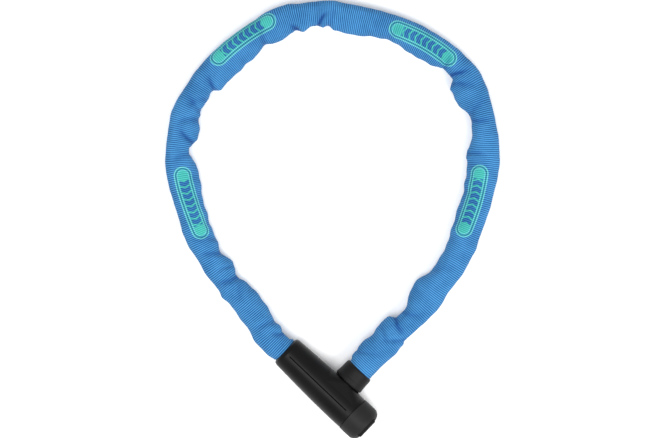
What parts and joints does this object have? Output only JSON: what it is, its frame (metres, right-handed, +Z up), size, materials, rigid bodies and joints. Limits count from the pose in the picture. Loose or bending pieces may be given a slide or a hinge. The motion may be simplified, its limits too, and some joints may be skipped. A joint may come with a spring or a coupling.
{
  "type": "chain lock",
  "caption": "Closed loop of steel chain in a ribbed textile sleeve, with a cylindrical keyed lock body and a bolt that enters it from the side.",
  "frame": {"origin": "middle of the closed lock's footprint, on the surface that it lies on", "axes": "+Z up from that surface; +Y along the loop's length, away from the lock body; +X to the right of +Y seen from above, the bolt's side of the lock body"},
  "size_m": [0.2619, 0.3414, 0.0296],
  "materials": {
    "black_jacket": "fine matte texture",
    "black_cap": "smooth matte",
    "black_collar": "smooth matte",
    "black_cover": "smooth matte",
    "blue_cloth": "ribbed woven textile with printed marks",
    "hard_steel": "ground",
    "chain_steel": "zinc plated",
    "zinc": "die cast, black finish",
    "brass": "machined"
  },
  "bodies": {
    "lock_body": {"jacket_bolt_side": "black_jacket", "jacket_outer_side": "black_jacket", "end_cap": "black_cap", "cover_stop_pin": "hard_steel", "lock_housing": "hard_steel", "cylinder_housing": "zinc", "cylinder_retaining_pin": "hard_steel", "chain_anchor_pin": "hard_steel"},
    "keyhole_cover": {"keyhole_cover": "black_cover"},
    "plug": {"plug": "brass", "plug_clip": "hard_steel", "wafers": "brass"},
    "locking_plate": {"locking_plate": "hard_steel"},
    "bolt": {"bolt": "hard_steel", "bolt_collar": "black_collar", "bolt_chain_pin": "hard_steel"},
    "length_01": {"chain_01": "chain_steel", "sleeve_01": "blue_cloth"},
    "length_02": {"chain_02": "chain_steel", "sleeve_02": "blue_cloth"},
    "length_03": {"chain_03": "chain_steel", "sleeve_03": "blue_cloth"},
    "length_04": {"chain_04": "chain_steel", "sleeve_04": "blue_cloth"},
    "length_05": {"chain_05": "chain_steel", "sleeve_05": "blue_cloth"},
    "length_06": {"chain_06": "chain_steel", "sleeve_06": "blue_cloth"},
    "length_07": {"chain_07": "chain_steel", "sleeve_07": "blue_cloth"},
    "length_08": {"chain_08": "chain_steel", "sleeve_08": "blue_cloth"},
    "length_09": {"chain_09": "chain_steel", "sleeve_09": "blue_cloth"},
    "length_10": {"chain_10": "chain_steel", "sleeve_10": "blue_cloth"},
    "length_11": {"chain_11": "chain_steel", "sleeve_11": "blue_cloth"},
    "length_12": {"chain_12": "chain_steel", "sleeve_12": "blue_cloth"},
    "length_13": {"chain_13": "chain_steel", "sleeve_13": "blue_cloth"},
    "length_14": {"chain_14": "chain_steel", "sleeve_14": "blue_cloth"}
  },
  "joints": [
    {"name": "bolt_release", "type": "slide", "parent": "lock_body", "child": "bolt", "axis": [0.6884, 0.7254, 0], "range_m": [0, 0.03]},
    {"name": "plug_turn", "type": "hinge", "parent": "lock_body", "child": "plug", "pos_m": [0.01563, -0.15216, 0.0148], "axis": [0.7254, -0.6884, 0], "range_deg": [0, 90]},
    {"name": "plate_lift", "type": "slide", "parent": "lock_body", "child": "locking_plate", "axis": [0, 0, 1], "range_m": [0, 0.00311]},
    {"name": "cover_slide", "type": "slide", "parent": "lock_body", "child": "keyhole_cover", "axis": [0, 0, 1], "range_m": [0, 0.0135]},
    {"name": "hinge_01", "type": "hinge", "parent": "bolt", "child": "length_01", "pos_m": [0.01938, -0.11988, 0.0148], "axis": [0, 0, 1], "range_deg": [-0.05, 2.28]},
    {"name": "hinge_02", "type": "hinge", "parent": "length_01", "child": "length_02", "pos_m": [0.06809, -0.07196, 0.01015], "axis": [0, 0, 1], "range_deg": [-0.05, 3.16]},
    {"name": "loop_flex", "type": "hinge", "parent": "length_02", "child": "length_03", "pos_m": [0.09833, -0.02836, 0.0095], "axis": [0, 0, 1], "range_deg": [-2.6, 3.4]},
    {"name": "hinge_04", "type": "hinge", "parent": "length_03", "child": "length_04", "pos_m": [0.11714, 0.02118, 0.0095], "axis": [0, 0, 1], "range_deg": [-0.05, 3.26]},
    {"name": "hinge_05", "type": "hinge", "parent": "length_04", "child": "length_05", "pos_m": [0.11867, 0.07389, 0.0095], "axis": [0, 0, 1], "range_deg": [-6.6, 5.06]},
    {"name": "hinge_06", "type": "hinge", "parent": "length_05", "child": "length_06", "pos_m": [0.0957, 0.12106, 0.0095], "axis": [0, 0, 1], "range_deg": [-1.96, 1.51]},
    {"name": "hinge_07", "type": "hinge", "parent": "length_06", "child": "length_07", "pos_m": [0.05073, 0.14845, 0.0095], "axis": [0, 0, 1], "range_deg": [-3.72, 4.85]},
    {"name": "hinge_08", "type": "hinge", "parent": "length_07", "child": "length_08", "pos_m": [-0.00097, 0.16008, 0.0095], "axis": [0, 0, 1], "range_deg": [-2.6, 0.05]},
    {"name": "hinge_09", "type": "hinge", "parent": "length_08", "child": "length_09", "pos_m": [-0.05227, 0.1492, 0.0095], "axis": [0, 0, 1], "range_deg": [-3.64, 4.74]},
    {"name": "hinge_10", "type": "hinge", "parent": "length_09", "child": "length_10", "pos_m": [-0.09354, 0.11617, 0.0095], "axis": [0, 0, 1], "range_deg": [-4.72, 0.05]},
    {"name": "hinge_11", "type": "hinge", "parent": "length_10", "child": "length_11", "pos_m": [-0.11863, 0.0699, 0.0095], "axis": [0, 0, 1], "range_deg": [-5.64, 4.33]},
    {"name": "hinge_12", "type": "hinge", "parent": "length_11", "child": "length_12", "pos_m": [-0.11625, 0.0176, 0.0095], "axis": [0, 0, 1], "range_deg": [-3.63, 2.79]},
    {"name": "hinge_13", "type": "hinge", "parent": "length_12", "child": "length_13", "pos_m": [-0.0956, -0.03126, 0.0095], "axis": [0, 0, 1], "range_deg": [-3.67, 4.79]},
    {"name": "hinge_14", "type": "hinge", "parent": "length_13", "child": "length_14", "pos_m": [-0.06303, -0.07318, 0.01219], "axis": [0, 0, 1], "range_deg": [-1.37, 0.05]}
  ],
  "couplings": [
    {"joint": "plug_turn", "follows": "plate_lift", "rad_per_m": 504.87},
    {"joint": "hinge_01", "follows": "bolt_release", "rad_per_m": 1.2952},
    {"joint": "hinge_02", "follows": "bolt_release", "rad_per_m": 1.8083},
    {"joint": "hinge_04", "follows": "bolt_release", "rad_per_m": 1.8695},
    {"joint": "hinge_05", "follows": "loop_flex", "ratio": -1.9268},
    {"joint": "hinge_06", "follows": "loop_flex", "ratio": -0.5607},
    {"joint": "hinge_07", "follows": "loop_flex", "ratio": 1.4123},
    {"joint": "hinge_08", "follows": "bolt_release", "rad_per_m": -1.4848},
    {"joint": "hinge_09", "follows": "loop_flex", "ratio": 1.3796},
    {"joint": "hinge_10", "follows": "bolt_release", "rad_per_m": -2.7192},
    {"joint": "hinge_11", "follows": "loop_flex", "ratio": -1.6455},
    {"joint": "hinge_12", "follows": "loop_flex", "ratio": -1.0539},
    {"joint": "hinge_13", "follows": "loop_flex", "ratio": 1.3931},
    {"joint": "hinge_14", "follows": "bolt_release", "rad_per_m": -0.7691}
  ]
}
